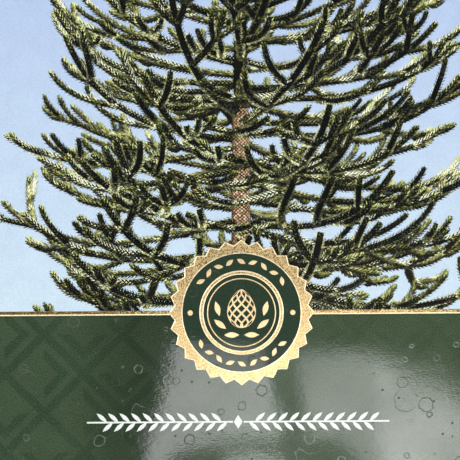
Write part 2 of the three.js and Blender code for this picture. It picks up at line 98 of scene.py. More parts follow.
class Finish(Nodes):
    """A material whose nodes read the place on the object in millimetres."""

    def __init__(self, name, roughness=0.2, **constants):
        self.material = bpy.data.materials.new(name)
        super().__init__(self.material)
        self.surface = self.node("BsdfPrincipled", {"Roughness": roughness})
        self.wear(**constants)
        self.node("OutputMaterial", {"Surface": self.surface.outputs["BSDF"]})
        place = self.node("TexCoord").outputs["Object"]
        self.place = self.node("VectorMath", {0: place, "Scale": 1 / MM}, operation="SCALE").outputs[0]

    def wear(self, **values):
        """Feeds the surface's own sockets, such as Base_Color, Roughness and Normal."""
        for socket, value in values.items():
            self.feed(self.surface.inputs[socket.replace("_", " ")], value)
        return self.material

    def math(self, operation, *values):
        return self.node("Math", dict(enumerate(values)), operation=operation).outputs[0]

    def product(self, first, *others):
        for value in others:
            first = self.math("MULTIPLY", first, value)
        return first

    def most(self, first, *others):
        for value in others:
            first = self.math("MAXIMUM", first, value)
        return first

    def away(self, value, middle):
        return self.math("ABSOLUTE", self.math("SUBTRACT", value, middle))

    def split(self, vector=None):
        return self.node("SeparateXYZ", {0: vector or self.place}).outputs

    def flat_place(self):
        """The place with its height left out, so that a pattern runs across layers."""
        x, y, _ = self.split()
        return self.node("CombineXYZ", {0: x, 1: y}).outputs[0]

    def noise(self, size, detail=2.0, roughness=0.5, at=None):
        sockets = {"Vector": at or self.place, "Scale": 1 / size, "Detail": detail, "Roughness": roughness}
        return self.node("TexNoise", sockets).outputs["Fac"]

    def cells(self, size, place):
        return self.node("TexVoronoi", {"Vector": place, "Scale": 1 / size}).outputs

    def wobbled(self, place, size, reach):
        """A place moved about by a noise, so that a pattern's outlines are uneven."""
        noise = self.node("TexNoise", {"Vector": place, "Scale": 1 / size, "Detail": 1.0})
        sockets = {0: noise.outputs["Color"], 1: (reach, reach, 0.0), 2: place}
        return self.node("VectorMath", sockets, operation="MULTIPLY_ADD").outputs[0]

    def between(self, value, low, high, to_low=0.0, to_high=1.0, smooth=True):
        """value taken from low..high to to_low..to_high, and held outside."""
        sockets = {"From Min": low, "From Max": high, "To Min": to_low, "To Max": to_high, "Value": value}
        curve = "SMOOTHSTEP" if smooth else "LINEAR"
        return self.node("MapRange", sockets, interpolation_type=curve, clamp=True).outputs["Result"]

    def varied(self, size, detail, least, most, span=0.4):
        """A value that wanders from least to most, in patches of a size; a wide span is softer."""
        return self.between(self.noise(size, detail), 0.5 - span / 2, 0.5 + span / 2, least, most)

    def mix(self, share, first, second):
        sockets = {"Factor": share, "A": first, "B": second}
        return self.node("Mix", sockets, data_type="RGBA").outputs["Result"]

    def brighter(self, colour, factor):
        return self.node("VectorMath", {0: colour, "Scale": factor}, operation="SCALE").outputs[0]

    def bump(self, height, distance, before=None):
        """Relief: a height of 0 to 1 stands for 0 to distance, in millimetres."""
        sockets = {"Distance": distance * MM, "Height": height}
        if before is not None:
            sockets["Normal"] = before
        return self.node("Bump", sockets).outputs["Normal"]


# Marks on the gloss: sizes in millimetres, and a scratch's width as a step of its noise
RING_WIDTH = 0.26
SCRATCH_CURVE = 17.0
SCRATCH_PATCH = 11.0
SCRATCH_WIDTH = 0.004
CRUST_SPACING = 24.0
CRUST_RADIUS = 1.8
CRUST_SHARE = 0.4


def dried_drops(finish, place, spacing, share, smallest, largest):
    """Thin rings where drops have dried: 1 on the strongest, less on the others."""
    cells = finish.cells(spacing, place)
    chance = finish.split(cells["Color"])
    radius = finish.between(chance[0], 0.0, 1.0, smallest / spacing, largest / spacing, smooth=False)
    ring = finish.between(finish.away(cells["Distance"], radius), 0.0, RING_WIDTH / spacing, 1.0, 0.0)
    return finish.product(ring, finish.between(chance[1], 0.0, share, 1.0, 0.0, smooth=False))


def scattered(finish, place, spacing, share, size):
    """Small round specks: 1 on a speck."""
    cells = finish.cells(spacing, place)
    chosen = finish.math("LESS_THAN", finish.split(cells["Color"])[0], share)
    near = finish.between(cells["Distance"], 0.4 * size / spacing, size / spacing, 1.0, 0.0)
    return finish.product(chosen, near)


def hairlines(finish, place):
    """A few fine curved scratches, along one contour of a wide noise: 1 on a line."""
    curve = finish.noise(SCRATCH_CURVE, detail=1.0, at=place)
    line = finish.between(finish.away(curve, 0.5), 0.0, SCRATCH_WIDTH, 1.0, 0.0)
    patch = finish.between(finish.noise(SCRATCH_PATCH, detail=1.0, at=place), 0.58, 0.66)
    return finish.product(line, patch)


def smudges(finish, place):
    """A few crusts of dried dirt, in bits: 1 on a bit."""
    cells = finish.cells(CRUST_SPACING, place)
    chosen = finish.math("LESS_THAN", finish.split(cells["Color"])[2], CRUST_SHARE)
    radius = CRUST_RADIUS / CRUST_SPACING
    near = finish.between(cells["Distance"], 0.4 * radius, radius, 1.0, 0.0)
    bits = finish.between(finish.noise(0.5, detail=3.0, at=place), 0.56, 0.62)
    return finish.product(chosen, near, bits)


# The gloss isn't quite level: size, detail and depth of its waves, in millimetres
GLOSS_WAVES = ((34.0, 1.0, 0.09), (5.0, 1.0, 0.007), (1.7, 2.0, 0.005))
GLOSS_GRAIN = 0.45
GLOSS_GRAIN_DEPTH = 0.005
GLOSS_STREAK = 0.45
DROP_DEPTH = 0.014
GLOSS_ROUGHNESS = (0.035, 0.06)
SPOILT_ROUGHNESS = 0.5
PIT_COLOUR = (36, 42, 38)


def laminate(finish, colour, dust_colour, dust=0.5, drops=0.1, pitted=0.7):
    """The clear gloss over a printed colour: orange peel, dried drops, hairlines, pits and dust."""
    flat = finish.flat_place()
    bent = finish.wobbled(flat, size=1.6, reach=0.9)
    loose = finish.wobbled(flat, size=40.0, reach=30.0)
    ring = finish.most(
        dried_drops(finish, bent, spacing=7.0, share=0.75, smallest=0.8, largest=1.7),
        dried_drops(finish, bent, spacing=17.0, share=0.7, smallest=1.6, largest=3.6),
    )
    pits = finish.most(
        scattered(finish, flat, spacing=2.6, share=0.3, size=0.46),
        scattered(finish, flat, spacing=7.5, share=0.3, size=0.5),
    )
    dirt = finish.most(
        scattered(finish, loose, spacing=6.0, share=0.3, size=0.34),
        smudges(finish, flat),
        finish.product(hairlines(finish, bent), 0.4),
    )
    dirt = finish.most(finish.product(dirt, dust), finish.product(ring, drops))
    colour = finish.mix(finish.product(pits, pitted), colour, linear(*PIT_COLOUR))
    colour = finish.mix(dirt, colour, dust_colour)

    normal = None
    for size, detail, depth in GLOSS_WAVES:
        normal = finish.bump(finish.noise(size, detail, at=flat), depth, normal)
    drawn_out = finish.node("VectorMath", {0: flat, 1: (GLOSS_STREAK, 1.0, 1.0)}, operation="MULTIPLY")
    grain = finish.noise(GLOSS_GRAIN, detail=1.0, roughness=0.6, at=drawn_out.outputs[0])
    normal = finish.bump(grain, GLOSS_GRAIN_DEPTH, normal)
    normal = finish.bump(ring, DROP_DEPTH, normal)
    smear = finish.noise(14.0, detail=3.0, at=flat)
    roughness = finish.between(smear, 0.35, 0.7, *GLOSS_ROUGHNESS)
    spoilt = finish.most(finish.product(ring, 0.5), pits, dirt)
    roughness = finish.math("ADD", roughness, finish.product(spoilt, SPOILT_ROUGHNESS))
    return finish.wear(Base_Color=colour, Normal=normal, Roughness=roughness)


SKY_SPAN_Y = (-50.0, 42.0)


def sky_finish():
    finish = Finish("printed_sky")
    height = finish.between(finish.split()[1], *SKY_SPAN_Y, smooth=False)
    colour = finish.mix(height, linear(211, 232, 247), linear(186, 206, 239))
    mottle = finish.varied(6.0, 4.0, 0.975, 1.02)
    grain = finish.varied(0.45, 1.0, 0.94, 1.045, span=0.5)
    colour = finish.brighter(colour, finish.product(mottle, grain))
    return laminate(finish, colour, linear(150, 164, 180), drops=0.05, pitted=0.1)


# The green panel's lattice: a diamond's diagonal, and its line and soft edge as shares of its side
LATTICE_TURN = 16.7 * sqrt(2)
LATTICE_LINE = 0.145
LATTICE_SOFT = 0.025
BRACKET_PLACE = 0.5 - 1.75 * LATTICE_LINE


def lattice(finish):
    """Diamonds with a bracket in each, tone on tone: 1 on their lines, which have soft edges."""
    flat = finish.wobbled(finish.flat_place(), size=3.0, reach=0.35)
    x, y, _ = finish.split(flat)
    rising = finish.product(finish.math("ADD", x, y), 1 / LATTICE_TURN)
    falling = finish.product(finish.math("SUBTRACT", x, y), 1 / LATTICE_TURN)
    rises = finish.math("SUBTRACT", finish.math("FRACT", rising), 0.5)
    falls = finish.math("SUBTRACT", finish.math("FRACT", falling), 0.5)
    reach = finish.most(finish.math("ABSOLUTE", rises), finish.math("ABSOLUTE", falls))
    half = LATTICE_LINE / 2
    edge = finish.between(reach, 0.5 - half - LATTICE_SOFT, 0.5 - half + LATTICE_SOFT)
    off_bracket = finish.away(reach, BRACKET_PLACE)
    bracket = finish.between(off_bracket, half - LATTICE_SOFT, half + LATTICE_SOFT, 1.0, 0.0)
    row = finish.math("FLOOR", rising)
    odd = finish.math("GREATER_THAN", finish.math("FRACT", finish.product(row, 0.5)), 0.25)
    way = finish.math("SUBTRACT", 1.0, finish.product(odd, 2.0))
    leading = finish.most(finish.product(rises, way), falls)
    on_side = finish.math("GREATER_THAN", leading, finish.math("SUBTRACT", reach, 0.004))
    return finish.most(edge, finish.product(bracket, on_side))


# Where the lattice fades to the right, and the panel's darker strip, in X
LATTICE_FADE = (-30.0, -5.0)
DARK_STRIP_X = -27.0
DARK_STRIP_HALF = (3.0, 30.0)


def panel_finish():
    finish = Finish("printed_green_panel")
    x, y, _ = finish.split()
    fade = finish.between(x, *LATTICE_FADE, 0.8, 0.3)
    patches = finish.varied(24.0, 1.0, 0.55, 1.0)
    depth = finish.product(lattice(finish), finish.product(fade, patches))
    colour = finish.mix(depth, linear(64, 81, 59), linear(48, 69, 49))
    grain = finish.varied(0.32, 2.0, 0.5, 1.55, span=0.5)
    mottle = finish.varied(8.0, 4.0, 0.94, 1.06)
    # Painted shadow: the panel darker in a thin band just under the rule
    painted_shadow_under_rule = finish.between(y, RULE_Y - 1.3, RULE_Y - 0.8, 1.0, 0.72)
    strip = finish.between(finish.away(x, DARK_STRIP_X), *DARK_STRIP_HALF, 0.6, 1.0)
    shade = finish.product(grain, mottle, painted_shadow_under_rule, strip)
    return laminate(finish, finish.brighter(colour, shade), linear(140, 150, 138))


def seal_finish():
    finish = Finish("printed_deep_green", Specular_IOR_Level=0.3)
    grain = finish.varied(0.5, 2.0, 0.85, 1.15, span=0.5)
    colour = finish.brighter(linear(44, 62, 48)[:3], grain)
    return laminate(finish, colour, linear(110, 122, 110), dust=0.35)


FOIL_RELIEF = 0.01
FOIL_EDGE_RADIUS = 0.3


def foil_finish(name, colour, smooth, rough, relief=FOIL_RELIEF):
    """Hot stamped foil: a mosaic of smoother and rougher grains, pressed round at its edges."""
    finish = Finish(name, rough, Metallic=1.0)
    fine = finish.noise(0.34, detail=2.0, roughness=0.6)
    coarse = finish.noise(0.9, detail=2.0, roughness=0.6)
    shade = finish.product(
        finish.between(fine, 0.3, 0.7, 0.8, 1.12),
        finish.varied(9.0, 2.0, 0.94, 1.05),
    )
    rounded = finish.node("Bevel", {"Radius": FOIL_EDGE_RADIUS * MM}).outputs[0]
    normal = finish.bump(coarse, relief, rounded)
    normal = finish.bump(fine, relief, normal)
    roughness = finish.varied(0.5, 2.0, smooth, rough, span=0.24)
    return finish.wear(Base_Color=finish.brighter(colour, shade), Roughness=roughness, Normal=normal)


def white_print_finish():
    finish = Finish("white_ink", 0.22)
    grain = finish.varied(0.4, 2.0, 0.0, 1.0)
    colour = finish.mix(grain, linear(228, 233, 229), linear(243, 246, 243))
    normal = finish.bump(finish.noise(0.8, detail=1.0), 0.004)
    return finish.wear(Base_Color=colour, Normal=normal)


def card_finish():
    finish = Finish("card_plastic", 0.36)
    scuff = finish.noise(3.0, detail=5.0, roughness=0.6)
    fine = finish.noise(0.25, detail=2.0)
    colour = finish.mix(finish.between(scuff, 0.35, 0.7), linear(240, 240, 236), linear(228, 229, 224))
    roughness = finish.between(scuff, 0.3, 0.7, 0.3, 0.44)
    return finish.wear(Base_Color=colour, Roughness=roughness, Normal=finish.bump(fine, 0.004))


INK_GRAIN = 0.12


def ink_finish(name, colour):
    """One printed ink tone, with the grain of the press in it."""
    finish = Finish(name, 0.07)
    grain = finish.varied(0.5, 2.0, 1 - INK_GRAIN, 1 + INK_GRAIN, span=0.5)
    patch = finish.varied(2.6, 2.0, 0.94, 1.06)
    return finish.wear(Base_Color=finish.brighter(colour[:3], finish.product(grain, patch)))


# The pictured tree: limbs grow in space by the same seeded rule as in the part's source

TRUNK_FOOT_Y = -75.0
TRUNK_TOP_Y = 86.0
TRUNK_FOOT_RADIUS = 3.4
TRUNK_TOP_RADIUS = 1.6
CROWN_HALF_WIDTH = 76.0
CROWN_MIDDLE_Y = -44.0
CROWN_RISE = 136.0
LOWEST_WHORL_Y = -84.0
WHORL_TWIST = 2.4
BOUGHS_IN_WHORL = 5
PICTURE_PITCH = radians(10)
PICTURE_MIDDLE_Y = -20.0
TREE_SEED = 1469

# Values at the trunk's foot and at its top
WHORL_PITCH = (10.5, 5.5)
BOUGH_PITCH = (-0.55, 0.6)
BOUGH_LIFT = (1.25, 0.7)

# A bough: its length to its reach, how far it may turn and roll, and its points' spacing
BOUGH_OVERRUN = 1.06
BOUGH_TURN = 0.7
BOUGH_ROLL = 0.9
BOUGH_POINTS = 4.0
BARE_TIP = 12.0
BARE_FOOT_SHARE = 0.2

# Its side limbs. A pair of numbers is the least value, and what a draw can add to it
SIDE_SPACING = 14.0
SIDE_JITTER = 5
SIDE_LENGTH = 16.0
SIDE_GAIN = 5.0
SIDE_POINTS = 2.6
SIDE_MISSING = 0.12
SIDE_LENGTH_SHARE = (0.7, 0.6)
SIDE_SPREAD = (0.75, 0.4)
SIDE_TURN = (0.2, 0.5)
SIDE_LIFT = (0.6, 0.7)
LONGEST_SIDE_SHARE = 0.6

# The twigs on a side limb
LEAST_TWIGGED_LENGTH = 14
TWIGGED_SHARE = 0.6
TWIG_MISSING = 0.3
TWIG_PLACE = (0.35, 0.25)
TWIG_LENGTH_SHARE = (0.4, 0.25)
TWIG_SPREAD = 0.85
TWIG_TURN = 0.4
TWIG_LIFT = 0.8

# Kinds of limb
BOUGH, SIDE, TWIG, LEADER = range(4)

DRAW_FACTOR = 16807
DRAW_RANGE = 2147483647


def seeded(seed):
    """Steady draws between 0 and 1."""
    state = seed

    def draw():
        nonlocal state
        state = state * DRAW_FACTOR % DRAW_RANGE
        return state / DRAW_RANGE

    return draw


def swing(draw, width):
    """A draw to either side of 0, as wide as said from end to end."""
    return (draw() - 0.5) * width


def pick(draw, span):
    return span[0] + span[1] * draw()


def nearest(value):
    return floor(value + 0.5)


def share_of_trunk(y):
    return max(0.0, (y - TRUNK_FOOT_Y) / (TRUNK_TOP_Y - TRUNK_FOOT_Y))


def from_foot_to_top(ends, up):
    return ends[0] + (ends[1] - ends[0]) * up


def crown_reach(y):
    k = (y - CROWN_MIDDLE_Y) / CROWN_RISE
    if k < 0:
        k *= 0.5
    return CROWN_HALF_WIDTH * sqrt(max(0.0, 1 - k * k))


def limb(start, heading, pitch, length, turn, lift, count):
    """Points (across, towards the viewer, up) of a limb that turns and rises."""
    points = [start]
    step = length / count
    for i in range(count):
        s = (i + 0.5) / count
        a = heading + turn * s
        e = pitch + lift * s * s
        q = points[-1]
        points.append((
            q[0] + step * cos(e) * cos(a),
            q[1] + step * cos(e) * sin(a),
            q[2] + step * sin(e),
        ))
    return points


def direction_at(points, i):
    a = points[max(0, i - 1)]
    b = points[min(len(points) - 1, i + 1)]
    d = [b[k] - a[k] for k in range(3)]
    return atan2(d[1], d[0]), asin(d[2] / hypot(*d))


def grow_twigs(draw, lateral, length, count):
    """Twigs to both sides of a side limb that is long enough."""
    if length <= LEAST_TWIGGED_LENGTH or draw() >= TWIGGED_SHARE:
        return []
    twigs = []
    k = max(2, nearest(count * pick(draw, TWIG_PLACE)))
    heading, rise = direction_at(lateral, k)
    for half in (-1, 1):
        if draw() < TWIG_MISSING:
            continue
        pitch = rise * 0.7 + swing(draw, 0.5)
        twig_length = length * pick(draw, TWIG_LENGTH_SHARE)
        away = heading + half * TWIG_SPREAD
        twigs.append((limb(lateral[k], away, pitch, twig_length, -half * TWIG_TURN, TWIG_LIFT, 4), TWIG))
    return twigs


def grow_bough(draw, y, azimuth, reach, pitch, lift):
    """One bough: its main limb, then its side limbs and their twigs, each with its kind."""
    length = reach * BOUGH_OVERRUN
    count = max(4, nearest(reach / BOUGH_POINTS))
    main = limb((0.0, 0.0, y), azimuth, pitch, length, swing(draw, BOUGH_TURN), lift, count)
    limbs = [(main, BOUGH)]
    roll = swing(draw, BOUGH_ROLL)
    at = length - BARE_TIP - SIDE_JITTER * draw()
    j = 0
    while at > BARE_FOOT_SHARE * reach:
        i = max(2, nearest(at / length * count))
        heading, rise = direction_at(main, i)
        for side in (-1, 1):
            if draw() < SIDE_MISSING:
                continue
            full_length = SIDE_LENGTH + SIDE_GAIN * j
            side_length = min(reach * LONGEST_SIDE_SHARE, full_length * pick(draw, SIDE_LENGTH_SHARE))
            spread = side * pick(draw, SIDE_SPREAD)
            side_pitch = rise * 0.8 - 0.1 + side * roll * 0.7 + swing(draw, 0.3)
            side_count = max(4, nearest(side_length / SIDE_POINTS))
            turn = -side * pick(draw, SIDE_TURN)
            side_lift = pick(draw, SIDE_LIFT)
            lateral = limb(main[i], heading + spread, side_pitch, side_length, turn, side_lift, side_count)
            limbs += [(lateral, SIDE)] + grow_twigs(draw, lateral, side_length, side_count)
        at -= SIDE_SPACING + SIDE_JITTER * draw()
        j += 1
    return limbs


def grow_tree():
    """Whorls of boughs up the trunk."""
    draw = seeded(TREE_SEED)
    limbs = []
    y = LOWEST_WHORL_Y
    whorl = 0
    while y < TRUNK_TOP_Y - 5:
        up = share_of_trunk(y)
        phase = whorl * WHORL_TWIST + draw() * 0.5
        for i in range(BOUGHS_IN_WHORL):
            azimuth = phase + i * 2 * pi / BOUGHS_IN_WHORL + swing(draw, 0.5)
            pitch = from_foot_to_top(BOUGH_PITCH, up ** 1.2) + swing(draw, 0.35)
            lift = from_foot_to_top(BOUGH_LIFT, up) + swing(draw, 0.5)
            reach = crown_reach(y + 8) * pick(draw, (0.8, 0.3))
            limbs += grow_bough(draw, y + swing(draw, 7), azimuth, reach, pitch, lift)
        y += from_foot_to_top(WHORL_PITCH, up)
        whorl += 1
    return limbs


# Between the whorls, further boughs on the same trunk: their seed, and their spacing by side
FURTHER_SEED = 77
FURTHER_SPACING = ((0.0, 10.0), (pi, 26.0))


def grow_further():
    draw = seeded(FURTHER_SEED)
    limbs = []
    for side, spacing in FURTHER_SPACING:
        y = LOWEST_WHORL_Y + 4
        while y < TRUNK_TOP_Y - 20:
            up = share_of_trunk(y)
            azimuth = side + swing(draw, 1.3)
            pitch = from_foot_to_top(BOUGH_PITCH, up ** 1.2) + swing(draw, 0.3)
            lift = from_foot_to_top(BOUGH_LIFT, up) * pick(draw, (0.8, 0.3))
            reach = crown_reach(y + 8) * pick(draw, (0.9, 0.22))
            limbs += grow_bough(draw, y, azimuth, reach, pitch, lift)
            y += spacing * pick(draw, (0.8, 0.4))
    return limbs


# Sprays that cross in front of the trunk. A pair is the least value, and what a draw can add to it
FRONT_SEED = 23
FRONT_TOP_Y = 14.0
FRONT_SPACING = 8.0
FRONT_ASIDE = (10, 12)
FRONT_OUT = (24.0, 6)
FRONT_LENGTH = (26, 14)
FRONT_PITCH = (-0.45, 0.35)
FRONT_TURN = 0.2
FRONT_LIFT = (0.8, 0.5)
FRONT_TWIG_SPREAD = 0.9


def grow_front():
    draw = seeded(FRONT_SEED)
    limbs = []
    y = RULE_Y + 6
    side = 1
    while y < FRONT_TOP_Y:
        start = (-side * pick(draw, FRONT_ASIDE), pick(draw, FRONT_OUT), y)
        heading = (0.0 if side > 0 else pi) + swing(draw, 0.5)
        length = pick(draw, FRONT_LENGTH)
        count = nearest(length / SIDE_POINTS)
        pitch = pick(draw, FRONT_PITCH)
        spray = limb(start, heading, pitch, length, side * FRONT_TURN, pick(draw, FRONT_LIFT), count)
        limbs.append((spray, SIDE))
        for half in (-1, 1):
            k = nearest(count * pick(draw, (0.25, 0.35)))
            along, rise = direction_at(spray, k)
            twig_length = length * pick(draw, (0.35, 0.2))
            away = along + half * FRONT_TWIG_SPREAD
            twig = limb(spray[k], away, rise * 0.7, twig_length, -half * TWIG_TURN, TWIG_LIFT, 5)
            limbs.append((twig, TWIG))
        y += FRONT_SPACING * pick(draw, (0.7, 0.6))
        side = -side
    return limbs


# High up, shaded ropes of leaves run up the trunk, in front of its bark
CLOTHED_FROM_Y = 8.0
LEADER_OVERLAP = 3.0
LEADER_PLACES = (-1.0, 0.1, 1.2)
LEADER_OUT = 20.0
LEADER_LIGHT = 0.3


def grow_leader():
    heights = np.arange(CLOTHED_FROM_Y - LEADER_OVERLAP, TRUNK_TOP_Y, 2.0)
    return [([(x, LEADER_OUT, y) for y in heights], LEADER) for x in LEADER_PLACES]


def drawn(points):
    """Places in the picture: x across, y up the card, and the nearness to the viewer."""
    across, out, up = np.asarray(points, float).T
    lifted = up - PICTURE_MIDDLE_Y
    flat, steep = cos(PICTURE_PITCH), sin(PICTURE_PITCH)
    y = lifted * flat + out * steep + PICTURE_MIDDLE_Y
    return np.stack([across, y, out * flat - lifted * steep], 1)


# Each limb is a rope of short pointed leaves. Radii by kind of limb: at its foot and at its tip
ROPE_RADII = {BOUGH: (1.34, 1.2), SIDE: (1.24, 1.12), TWIG: (1.16, 1.06), LEADER: (1.3, 1.0)}
ROPE_STEP = 0.6
NEARER_IS_THICKER = 0.0025


def unit(vectors):
    return vectors / np.maximum(np.linalg.norm(vectors, axis=-1, keepdims=True), 1e-6)


class Ropes:
    """Evenly spaced points along every limb, with direction, radius and distance to the tip."""

    def __init__(self, limbs):
        rows = []
        for points, kind in limbs:
            coarse = drawn(points)
            lengths = np.r_[0, np.cumsum(np.linalg.norm(np.diff(coarse, axis=0), axis=1))]
            count = max(4, int(lengths[-1] / ROPE_STEP))
            s = np.linspace(0, lengths[-1], count + 1)
            place = np.stack([np.interp(s, lengths, coarse[:, i]) for i in range(3)], 1)
            for _ in range(3):
                place[1:-1] = (place[:-2] + 2 * place[1:-1] + place[2:]) / 4
            along = unit(np.gradient(place, axis=0))
            foot, tip = ROPE_RADII[kind]
            radius = (foot + (tip - foot) * s / lengths[-1]) * (1 + NEARER_IS_THICKER * place[:, 2])
            first = np.arange(count + 1) == 0
            gain = np.full(count + 1, LEADER_LIGHT if kind == LEADER else 1.0)
            rows.append((place, along, radius, lengths[-1] - s, first, gain))
        columns = (np.concatenate(part) for part in zip(*rows))
        self.place, self.along, self.radius, self.to_tip, self.first, self.gain = columns


# Sun and shade on the tree
SUN = unit(np.array([0.22, 0.82, 0.52]))
SHADOW_CELL = 0.5
SHADOW_RADIUS = 1.45
SHADOW_CLEARANCE = 2.6
SHADOW_MARGIN = 4
SKY_CELL = 4.0
SKY_BLUR = range(-2, 3)
SKY_CELLS_ABOVE = 6
SKY_FADE = 22.0


class Shade:
    """Which points of the tree the sun reaches, and how open the sky above them is."""

    def __init__(self, place):
        side = unit(np.cross(SUN, [0.0, 0.0, 1.0]))
        self.axes = np.stack([side, np.cross(side, SUN), SUN])
        local = place @ self.axes.T
        self.low = local.min(0) - SHADOW_MARGIN
        self.size = ((local.max(0) - self.low + SHADOW_MARGIN) / SHADOW_CELL).astype(int) + 1
        self.map = np.full(self.size[:2], -np.inf)
        i, j = self.shadow_cell(local)
        reach = int(SHADOW_RADIUS / SHADOW_CELL) + 1
        for di in range(-reach, reach + 1):
            for dj in range(-reach, reach + 1):
                if hypot(di, dj) * SHADOW_CELL <= SHADOW_RADIUS:
                    np.maximum.at(self.map, (i + di, j + dj), local[:, 2])
        self.corner = place.min(0) - 3 * SKY_CELL
        counts = np.zeros(((place.max(0) - self.corner) / SKY_CELL).astype(int) + 4)
        np.add.at(counts, self.sky_cell(place), 1.0)
        for axis in (0, 2):
            counts = sum(np.roll(counts, shift, axis) for shift in SKY_BLUR) / len(SKY_BLUR)
        above = np.flip(np.cumsum(np.flip(counts, 1), 1), 1)
        self.above = np.roll(above, -1, 1) - np.roll(above, -1 - SKY_CELLS_ABOVE, 1)

    def shadow_cell(self, local):
        return ((local[:, :2] - self.low[:2]) / SHADOW_CELL).astype(int).T

    def sky_cell(self, place):
        return tuple(((place - self.corner) / SKY_CELL).astype(int).T)

    def shaded(self, place):
        local = place @ self.axes.T
        i, j = self.shadow_cell(local)
        i = np.clip(i, 0, self.size[0] - 1)
        j = np.clip(j, 0, self.size[1] - 1)
        return self.map[i, j] > local[:, 2] + SHADOW_CLEARANCE

    def open_sky(self, place):
        return np.exp(-self.above[self.sky_cell(place)] / SKY_FADE)


class Kites:
    """Flat triangles of the picture, each with its place, nearness, brightness and kind of ink."""

    def __init__(self):
        self.rows = []

    def add(self, corners, near, light, kind):
        self.rows.append((corners, near, light, np.broadcast_to(kind, len(near))))

    def columns(self):
        return [np.concatenate(part) for part in zip(*self.rows)]


# Kinds of ink
WARM, COOL, TIP, STRAW, BARK = range(5)

# Light in the crown: what is left of it by the trunk low down, and what its top loses
INNER_LIGHT = 0.6
INNER_HALF_SHARE = 0.5
LOW_CROWN_RISE = 50.0
CROWN_TOP_Y = 40.0
CROWN_TOP_RISE = 40.0
CROWN_TOP_LOSS = 0.4


def depth_in_crown(place):
    """How much light gets in: least by the trunk low down, and less again at the top."""
    from_trunk = np.clip(np.abs(place[:, 0]) / CROWN_HALF_WIDTH / INNER_HALF_SHARE, 0, 1)
    up = np.clip((place[:, 1] - RULE_Y) / LOW_CROWN_RISE, 0, 1)
    at_top = np.clip((place[:, 1] - CROWN_TOP_Y) / CROWN_TOP_RISE, 0, 1)
    outer = np.clip(from_trunk + 0.8 * up, 0, 1)
    return (INNER_LIGHT + (1 - INNER_LIGHT) * outer) * (1 - CROWN_TOP_LOSS * at_top)


# A leaf's shape
LEAVES_ROUND = 6
LEAF_LENGTH = 1.34
LEAF_WIDTH = 0.68
LEAF_SPREAD = 0.64
LEAF_FOOT_DEPTH = 0.45
CLOSED_TIP = 1.6
PALE_TIP = 4.0
HIDDEN_BEHIND = -0.35

# Light on a leaf
SUNLIGHT = 3.0
THROUGH_LEAF = 0.22
SHADOW_DEPTH = 0.86
SKYLIGHT = 0.17
LEAST_LIGHT = 0.02
LEAF_CHANCE = (0.45, 1.1)
TIP_GAIN = 0.45
TIP_FROM = 0.45
COOL_GAIN = 0.7
STRAW_SHARE = 0.03


def leaf_light(normal, out, dark, open_sky, hand):
    """The sun on a leaf or through it, less from below and in shadow, and the sky's light."""
    facing = normal @ SUN
    lit = np.where(facing > 0, facing, -THROUGH_LEAF * facing)
    below = np.clip(0.8 + 0.6 * out[:, 1], 0.2, 1.1)
    sun = lit * (1 - SHADOW_DEPTH * dark) * SUNLIGHT * below
    return sun + SKYLIGHT * open_sky * (0.5 + 0.5 * normal[:, 1]) * (1 + 0.4 * hand) + LEAST_LIGHT


def add_leaves(kites, ropes, shade, random):
    count = len(ropes.place)
    row = np.arange(count)
    side = unit(np.cross(ropes.along, [0.0, 1.0, 0.0]))
    lifted = np.cross(side, ropes.along)
    open_sky = shade.open_sky(ropes.place)
    depth = depth_in_crown(ropes.place)
    close = np.clip(ropes.to_tip / CLOSED_TIP, 0, 1)
    tip_share = np.clip(1 - ropes.to_tip / PALE_TIP, 0, 1)
    warmth = 0.68 + 0.26 * np.sin(ropes.place[:, 0] * 0.31) * np.sin(ropes.place[:, 2] * 0.23)
    for k in range(LEAVES_ROUND):
        turn = 2 * np.pi * (k + 0.5 * (row % 2)) / LEAVES_ROUND + (random.random(count) - 0.5) * 0.2
        turn = turn[:, None]
        out = side * np.cos(turn) + lifted * np.sin(turn)
        across = np.cross(ropes.along, out)
        length = LEAF_LENGTH * (0.85 + 0.3 * random.random(count))
        spread = (LEAF_SPREAD + 0.25 * (random.random(count) - 0.5)) * (0.45 + 0.55 * close)
        spread = spread[:, None]
        core = (ropes.radius - LEAF_FOOT_DEPTH) * (0.45 + 0.55 * np.sqrt(close))
        foot = ropes.place + out * core[:, None]
        axis = ropes.along * np.cos(spread) + out * np.sin(spread)
        point = foot + axis * (length * (0.55 + 0.45 * close))[:, None]
        middle = foot + axis * (length * 0.3)[:, None]
        outward = out * np.cos(spread) - ropes.along * np.sin(spread)
        chance = LEAF_CHANCE[0] + LEAF_CHANCE[1] * random.random(count)
        straw = random.random(count) < STRAW_SHARE
        shown = out[:, 2] > HIDDEN_BEHIND
        dark = shade.shaded(middle)
        nearness = point[:, 2] * 0.6 + foot[:, 2] * 0.4
        for hand in (-1, 1):
            edge = middle + across * (hand * LEAF_WIDTH / 2)
            normal = unit(outward * 0.8 + out * 0.3 + across * (0.35 * hand))
            normal = np.where((normal[:, 2] > 0)[:, None], normal, -normal)
            light = leaf_light(normal, out, dark, open_sky, hand)
            light = light * chance * (1 + TIP_GAIN * tip_share) * depth * ropes.gain
            kind = np.where(random.random(count) < warmth, WARM, COOL)
            light = np.where(kind == COOL, COOL_GAIN * light, light)
            kind = np.where(straw, STRAW, np.where(tip_share > TIP_FROM, TIP, kind))
            corners = np.stack([foot, edge, point], 1)
            kites.add(corners[shown][:, :, :2], nearness[shown], light[shown], kind[shown])


# A rope's core: its light, and how far it lies under and inside the leaves
CORE_LIGHT = 0.025
CORE_DEPTH = 0.3
CORE_INSET = 0.4


